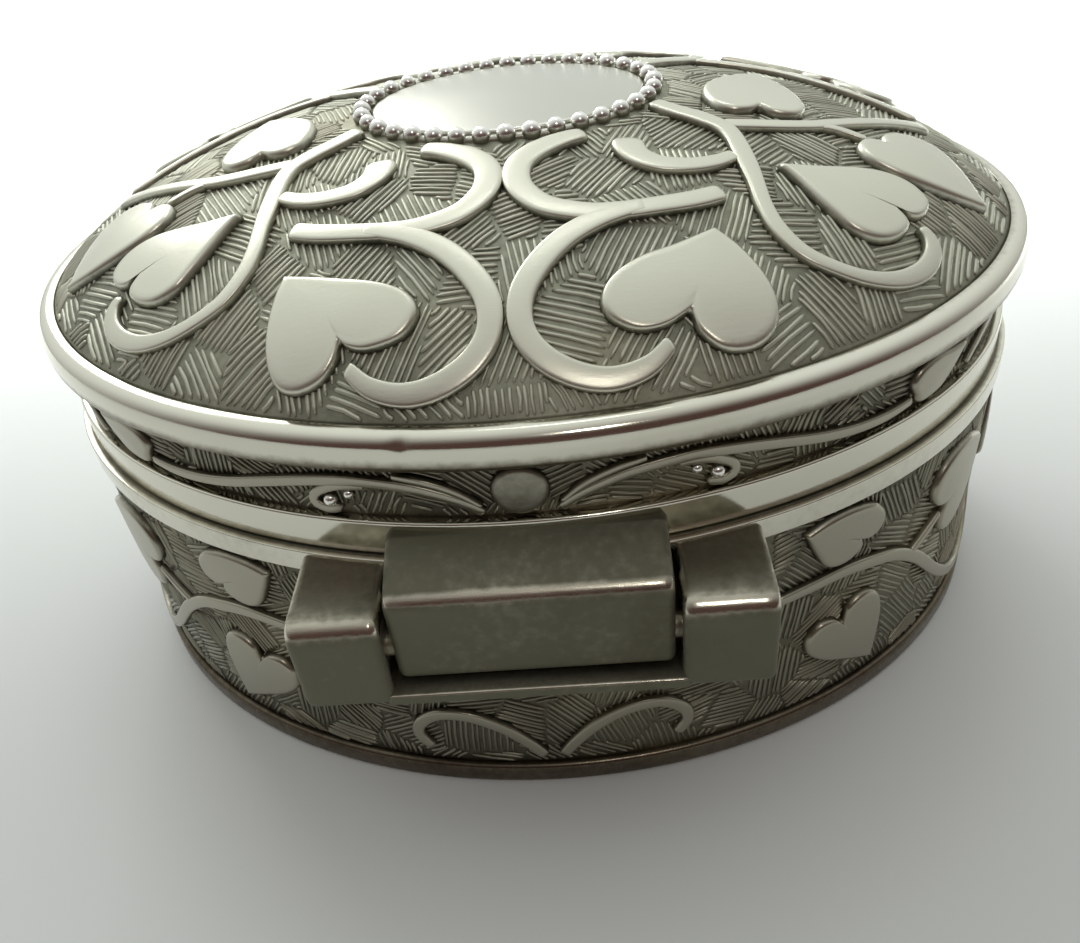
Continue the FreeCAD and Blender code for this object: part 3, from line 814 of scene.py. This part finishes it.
def bossPiece(name, place, centre, radius, body):
    # rings of radius r cos a at lift r (sin a + stand) round a point, closed by a top point and a floor
    s = bossSettings
    spokes = s["spokes"]
    a = np.linspace(-0.5, math.pi / 2, s["rings"] + 1)[:-1, None]
    t = np.linspace(0, 2 * math.pi, spokes, endpoint=False)[None]
    u = centre[0] + radius * np.cos(a) * np.cos(t)
    v = centre[1] + radius * np.cos(a) * np.sin(t)
    lift = radius * np.sin(a) + 0 * t + radius * s["stand"]
    top = place(np.array([centre[0]]), np.array([centre[1]]), np.array([radius * (1 + s["stand"])]))
    points3 = np.vstack([place(u, v, lift).reshape(-1, 3), top])
    k = np.arange(spokes)
    last = (s["rings"] - 1) * spokes
    faces = gridFaces(s["rings"], spokes).tolist()
    faces += np.stack([last + k, last + (k + 1) % spokes, 0 * k + last + spokes], axis=-1).tolist()
    faces.append(list(range(spokes))[::-1])
    # painted highlight on the boss's top, painted shade towards its foot
    worn = np.concatenate([np.repeat(np.clip(0.3 + np.sin(a[:, 0]), 0, 1), spokes), [1.0]])
    return buildPiece(name, points3, faces, body, "beadSilverPaintedHighlight", worn)


def makeBandBosses():
    # bead pairs in the curls, mirrored to each quarter, and a flat boss at each long side's middle
    for quarter, signU, signV in quarters:
        turn = 0.0 if signV > 0 else lidAround / 2
        for index, (u, v, radius) in enumerate(bandBeads):
            spot = mirrored([(u, v)], signU, 1, turn)[0]
            bossPiece("lid_band_bead_%d_%s" % (index + 1, quarter), onLidWall, spot, radius, "lid")
    for side, u in (("hinge", 0.0), ("opening", lidAround / 2)):
        outline = ovalOutline((u, 15.8), 1.05, 1.05, 40)
        raisedPiece("lid_band_boss_" + side, onLidWall, outline, (u, 15.8), "lid", 0.3, wornTop=0.55)


# cartouche: plate, wire and beads
beadSettings = {"count": 36, "radius": 0.39, "lift": 0.17, "rings": 9, "spokes": 16, "inset": 0.38,
                "wire": 0.2, "wireAround": 144, "wireAcross": 10}


def makeCartouche():
    # plate: a low raised oval; beads: balls at even lengths round an oval; wire: a small ring section
    # carried round the same oval under them
    s = beadSettings
    high = nodeBox("cartouche_bead_ring")[1]
    halfLength, halfWidth = high[0] - s["inset"], high[1] - s["inset"]
    plateHigh = nodeBox("cartouche_plate")[1]
    outline = ovalOutline((0, 0), plateHigh[0], plateHigh[1], 120)
    plate = raisedPiece("cartouche_plate_satin", onDome, outline, (0, 0), "lid", 0.15, "plateSilver")
    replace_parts(plate, "cartouche_plate")
    t = np.linspace(0, 2 * math.pi, 2001)
    step = np.hypot(np.diff(halfLength * np.sin(t)), np.diff(halfWidth * np.cos(t)))
    run = np.concatenate([[0], np.cumsum(step)])
    at = np.interp((np.arange(s["count"]) + 0.12) / s["count"] * run[-1], run, t)
    centre = onDome(halfLength * np.sin(at), -halfWidth * np.cos(at), 0 * at + s["lift"])
    a = np.linspace(0, math.pi, s["rings"])[1:-1, None]
    b = np.linspace(0, 2 * math.pi, s["spokes"], endpoint=False)[None]
    ball = np.stack([np.sin(a) * np.cos(b), np.sin(a) * np.sin(b), np.cos(a) + 0 * b], axis=-1).reshape(-1, 3)
    ball = np.vstack([ball, [[0, 0, 1], [0, 0, -1]]])
    random = np.random.default_rng(5)
    size = s["radius"] * random.uniform(0.94, 1.04, s["count"])
    points3 = centre[:, None] + ball[None] * size[:, None, None]
    rings = s["rings"] - 2
    k = np.arange(s["spokes"])
    quads = gridFaces(rings, s["spokes"])
    topFan = np.stack([(k + 1) % s["spokes"], k, 0 * k + len(ball) - 2], axis=-1)
    lowFan = np.stack([k, (k + 1) % s["spokes"], 0 * k], axis=-1) + (rings - 1) * s["spokes"]
    lowFan[:, 2] = len(ball) - 1
    shift = (np.arange(s["count"]) * len(ball))[:, None, None]
    faces = (quads[None] + shift).reshape(-1, 4).tolist()
    faces += (topFan[None] + shift).reshape(-1, 3).tolist() + (lowFan[None] + shift).reshape(-1, 3).tolist()
    # painted highlight on each bead's top, painted shade on its underside
    worn = np.broadcast_to(np.clip(0.42 + 0.75 * ball[:, 2], 0, 1), (s["count"], len(ball)))
    beads = buildPiece("cartouche_beads_round", points3, faces, "lid", "beadSilverPaintedHighlight", worn)
    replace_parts(beads, "cartouche_bead_ring")
    around, across = s["wireAround"], s["wireAcross"]
    turn = np.linspace(0, 2 * math.pi, around, endpoint=False)[:, None]
    c = np.linspace(0, 2 * math.pi, across, endpoint=False)[None]
    grow = s["wire"] * np.cos(c)
    wire = onDome((halfLength + grow) * np.sin(turn), -(halfWidth + grow) * np.cos(turn),
                  s["wire"] * np.sin(c) * 0.8 + 0 * turn)
    # lighter along the wire's upper side
    wornWire = np.broadcast_to(0.2 + 0.2 * np.sin(c), (around, across))
    buildPiece("cartouche_wire", wire, gridFaces(around, across, True, True).tolist(), "lid", "beadSilverPaintedHighlight",
               wornWire)
    print("cartouche made")


def loopWearAndShade(loop, low, high, under=0.0):
    # wear and painted light runs from low at the inner edge of the moulding to high where it stands out most,
    # and loses the share under towards its lower edge as painted shade
    out = (loop[:, 0] - loop[:, 0].min()) / np.ptp(loop[:, 0])
    down = np.clip((loop[:, 1].max() - loop[:, 1]) / np.ptp(loop[:, 1]) * 2.4 - 1.1, 0, 1)
    return (low + (high - low) * np.clip(out * 1.6, 0, 1)) * (1 - under * down)


def rimDing(turn, height):
    # one small dent where the rim was once knocked: depth falls off as exp(-distance squared)
    return 0.09 * np.exp(-((turn - 6.117) / 0.012) ** 2) * np.exp(-((height - 18.3) / 0.35) ** 2)


skinSettings = {"around": 240, "inner": 0.97, "hem": 0.4, "round": 0.06}


def makeSkins():
    # dome: rings (r a cos t, r b sin t) out to the oval, outer face at lift 0 and inner face below it;
    # walls: a thin rounded upright profile carried round the oval
    s = skinSettings
    around = s["around"]
    r = np.concatenate([np.linspace(0.02, 0.9, 40), np.linspace(0.92, 1.0, 14)])[:, None]
    t = np.linspace(0, 2 * math.pi, around, endpoint=False)[None]
    u, v = lidOval[0] * r * np.cos(t), lidOval[1] * r * np.sin(t)
    outer = onDome(u, v, 0 * u)
    inner = onDome(u * s["inner"], v * s["inner"], 0 * u - domeSettings["thickness"])
    inner[..., 2] = np.maximum(inner[..., 2], domeEdge - s["hem"])
    rows = len(r)
    points3 = np.concatenate([outer, inner[::-1]]).reshape(-1, 3)
    faces = gridFaces(2 * rows, around).tolist()
    faces += [list(range(around))[::-1], list(range((2 * rows - 1) * around, 2 * rows * around))]
    dome = buildPiece("lid_dome_skin", points3, faces, "lid", "groundSilver")
    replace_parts(dome, "lid_dome")
    for node, name, oval, thick, body in (("lid_wall", "lid_wall_skin", lidOval, 0.5, "lid"),
                                          ("base_wall", "base_wall_skin", baseOval, 1.1, "base")):
        low, high = nodeBox(node)
        loop = roundedLoop([(0, high[2], s["round"]), (0, low[2], s["round"]), (-thick, low[2], s["round"]),
                            (-thick, high[2], s["round"])], 4)
        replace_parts(ovalPiece(name, oval, loop, body, "wallGroundSilverPaintedShade"), node)
    print("dome and walls made")


# grow is how far the profile passes its node at top and bottom; rounding is inner, top and bottom;
# worn is at the inner edge, at the outer edge, and the share lost underneath as painted shade
mouldingSettings = {
    # lid rim: its lower side darkened by the share 0.85 as painted shade
    "lid_rim_moulding": {"name": "lid_rim_polished", "body": "lid", "silver": "rimSilver",
                         "grow": (0.1, 0.02), "rounding": (0.1, 0.74, 0.46), "steps": 12,
                         "worn": (0.45, 1.0, 0.85), "around": 720, "ding": rimDing},
    "lid_lower_rim": {"name": "lid_lower_rim_polished", "body": "lid", "silver": "rimSilver", "grow": (0, 0),
                      "rounding": (0.02, 0.14, 0.08), "steps": 6, "worn": (0.3, 0.9, 0), "around": 360,
                      "ding": None},
    "base_top_rim": {"name": "base_top_rim_polished", "body": "base", "silver": "rimSilver", "grow": (0, 0),
                     "rounding": (0.02, 0.08, 0.08), "steps": 6, "worn": (0.2, 0.72, 0), "around": 360,
                     "ding": None},
    "base_foot_rim": {"name": "base_foot_rim_polished", "body": "base", "silver": "footSilverTarnishAndShade",
                      "grow": (0, 0), "rounding": (0.02, 0.3, 0.3), "steps": 9, "worn": (0.1, 0.5, 0),
                      "around": 360, "ding": None},
}


def makeMouldings():
    # each profile is its node's box with rounded outer corners, carried round the oval
    for node, s in mouldingSettings.items():
        low, high = nodeBox(node)
        oval = lidOval if s["body"] == "lid" else baseOval
        out = high[0] - oval[0]
        top, bottom = high[2] + s["grow"][0], low[2] - s["grow"][1]
        innerRound, topRound, lowRound = s["rounding"]
        loop = roundedLoop([(-0.03, top, innerRound), (out, top, topRound), (out, bottom, lowRound),
                            (-0.03, bottom, 0.02)], s["steps"])
        piece = ovalPiece(s["name"], oval, loop, s["body"], s["silver"],
                          loopWearAndShade(loop, *s["worn"]), s["around"], s["ding"])
        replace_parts(piece, node)
    print("mouldings made")


def makeHatching():
    # dome between rim and beads, lid band and base wall between their mouldings
    high = nodeBox("cartouche_bead_ring")[1]
    halfLid, halfBase = lidAround / 2, baseAround / 2

    def onField(u, v):
        inField = (u / lidOval[0]) ** 2 + (v / lidOval[1]) ** 2 < 0.985
        return inField & ((u / high[0]) ** 2 + (v / high[1]) ** 2 > 1.06)

    def onBand(u, v):
        return (v > nodeBox("lid_lower_rim")[1][2] + 0.06) & (v < nodeBox("lid_rim_moulding")[0][2] - 0.02) \
            & (np.abs(u) < halfLid)

    def onBase(u, v):
        clear = (np.abs(u) > 9.2) | (v < 8.5)  # bare behind the hinge
        return (v > nodeBox("base_foot_rim")[1][2] + 0.06) & (v < nodeBox("base_top_rim")[0][2] - 0.06) \
            & (np.abs(u) < halfBase) & clear

    hatchPiece("lid_hatching", onDome, (-lidOval[0], lidOval[0]), (-lidOval[1], lidOval[1]), onField,
               "lid", 11)
    hatchPiece("lid_band_hatching", onLidWall, (-halfLid, halfLid), (14.6, 17.2), onBand, "lid", 23, 1.7)
    hatchPiece("base_hatching", onBaseWall, (-halfBase, halfBase), (1.0, 12.4), onBase, "base", 37)


makeHinge()
makePin()
makeSkins()
makeMouldings()
makeCartouche()
makeLidRelief()
makeWallRelief("lid_band_", onLidWall, lidAround, bandVines, bandHearts, "lid", 0.82)
makeWallRelief("base_", onBaseWall, baseAround, baseVines, baseHearts, "base", 0.9)
makeOpeningSide()
makeBandBosses()
makeHatching()

# carried-over frame nodes keep their mesh and get a finish
nodeSilver = {"base_floor": "innerSilver", "base_collar": "innerSilver", "lid_thumb_lip": "innerSilver"}
for node, silver in nodeSilver.items():
    for slot in frame["nodes"][node].material_slots:
        slot.material = silvers[silver]


def makeFloor():
    # flat in front, turning up smoothly behind: height = rise * share^2.5 of the way back
    settings = {"half": 4.0, "front": -4.0, "back": 4.0, "rise": 0.25}
    u = np.linspace(-settings["half"], settings["half"], 9)
    v = np.linspace(settings["front"], settings["back"], 61)
    gu, gv = np.meshgrid(u, v)
    share = np.clip((gv - 0.12) / (settings["back"] - 0.12), 0, 1)
    points = np.stack([gu, gv, settings["rise"] * share ** 2.5], axis=-1).reshape(-1, 3)
    mesh = bpy.data.meshes.new("floor_sweep")
    mesh.from_pydata(points.tolist(), [], gridFaces(61, 9, False).tolist())
    mesh.polygons.foreach_set("use_smooth", np.ones(len(mesh.polygons), bool))
    material = bpy.data.materials.new("paleFloor")
    material.use_nodes = True
    tree = material.node_tree
    shader = tree.nodes["Principled BSDF"]
    shader.inputs["Base Color"].default_value = (0.80, 0.82, 0.81, 1)
    shader.inputs["Roughness"].default_value = 0.75
    mesh.materials.append(material)
    floor = bpy.data.objects.new("floor_sweep", mesh)
    bpy.context.scene.collection.objects.link(floor)


lightSettings = {
    "back_wash": {"place": (0.06, 0.19, 0.30), "aim": (0.06, 0.20, 0.0), "size": (0.36, 0.14), "power": 2.0,
                  "spread": 60, "color": (0.97, 1.0, 0.99)},
    "left_key": {"place": (-0.17, 0.32, 0.22), "aim": (0, 0, 0.01), "size": (0.20, 0.16), "power": 0.45,
                 "spread": 180, "color": (0.98, 1.0, 0.98)},
    "room_lamp": {"place": (0.06, -0.26, 0.36), "aim": (0, 0, 0.01), "size": (0.04, 0.04), "power": 0.13,
                  "spread": 180, "color": (1.0, 0.97, 0.92)},
}


def makeLights():
    # area lights, and a room that brightens with 0.55 z + 0.75 y - 0.13 x of the direction
    for name, s in lightSettings.items():
        light = bpy.data.lights.new(name, "AREA")
        light.shape = "RECTANGLE"
        light.size, light.size_y = s["size"]
        light.energy = s["power"]
        light.color = s["color"]
        light.spread = math.radians(s["spread"])
        lamp = bpy.data.objects.new(name, light)
        lamp.location = s["place"]
        lamp.rotation_euler = (Vector(s["aim"]) - Vector(s["place"])).to_track_quat("-Z", "Y").to_euler()
        bpy.context.scene.collection.objects.link(lamp)
    world = bpy.data.worlds.new("studio")
    bpy.context.scene.world = world
    world.use_nodes = True
    tree = world.node_tree
    background = tree.nodes["Background"]
    direction = tree.nodes.new("ShaderNodeTexCoord").outputs["Generated"]
    split = tree.nodes.new("ShaderNodeSeparateXYZ")
    tree.links.new(direction, split.inputs["Vector"])
    toLight = mathNode(tree, "ADD", mathNode(tree, "MULTIPLY", split.outputs["Z"], 0.55),
                       mathNode(tree, "MULTIPLY", split.outputs["Y"], 0.75))
    toLight = mathNode(tree, "SUBTRACT", toLight, mathNode(tree, "MULTIPLY", split.outputs["X"], 0.13))
    color = mixColor(tree, rangeNode(tree, toLight, -0.42, 0.98), (0.085, 0.05, 0.043, 1),
                     (0.86, 0.90, 0.87, 1))
    # seen straight on, the room is plain and pale
    onCamera = tree.nodes.new("ShaderNodeLightPath").outputs["Is Camera Ray"]
    tree.links.new(mixColor(tree, onCamera, color, (0.78, 0.80, 0.79, 1)), background.inputs["Color"])
    background.inputs["Strength"].default_value = 1.0


# camera: azimuth and elevation of its view, roll about it, and the point that it looks at
cameraSettings = {"azimuth": 4.27, "elevation": 37.59, "roll": -6.87, "distance": 32.36, "lens": 31.74,
                  "target": (0.74, -16.91, 16.37)}


def makeCamera():
    # forward from azimuth and elevation; right and up turned about it by roll; set back by distance
    s = cameraSettings
    azimuth, elevation, roll = (math.radians(s[key]) for key in ("azimuth", "elevation", "roll"))
    forward = Vector((-math.sin(azimuth) * math.cos(elevation), math.cos(azimuth) * math.cos(elevation),
                      -math.sin(elevation)))
    level = Vector((math.cos(azimuth), math.sin(azimuth), 0))
    upright = level.cross(forward)
    right = level * math.cos(roll) + upright * math.sin(roll)
    up = upright * math.cos(roll) - level * math.sin(roll)
    data = bpy.data.cameras.new("camera")
    data.sensor_width = 36
    data.sensor_fit = "HORIZONTAL"
    data.lens = s["lens"]
    data.clip_start = 0.001
    data.clip_end = 10
    camera = bpy.data.objects.new("camera", data)
    bpy.context.scene.collection.objects.link(camera)
    turn = Matrix((right, up, -forward)).transposed().to_4x4()
    place = Vector(s["target"]) * mm - forward * s["distance"] * mm
    camera.matrix_world = Matrix.Translation(place) @ turn
    bpy.context.scene.camera = camera


makeFloor()
makeLights()
makeCamera()
bpy.context.scene.view_settings.view_transform = "Standard"
print("floor, lights and camera made")
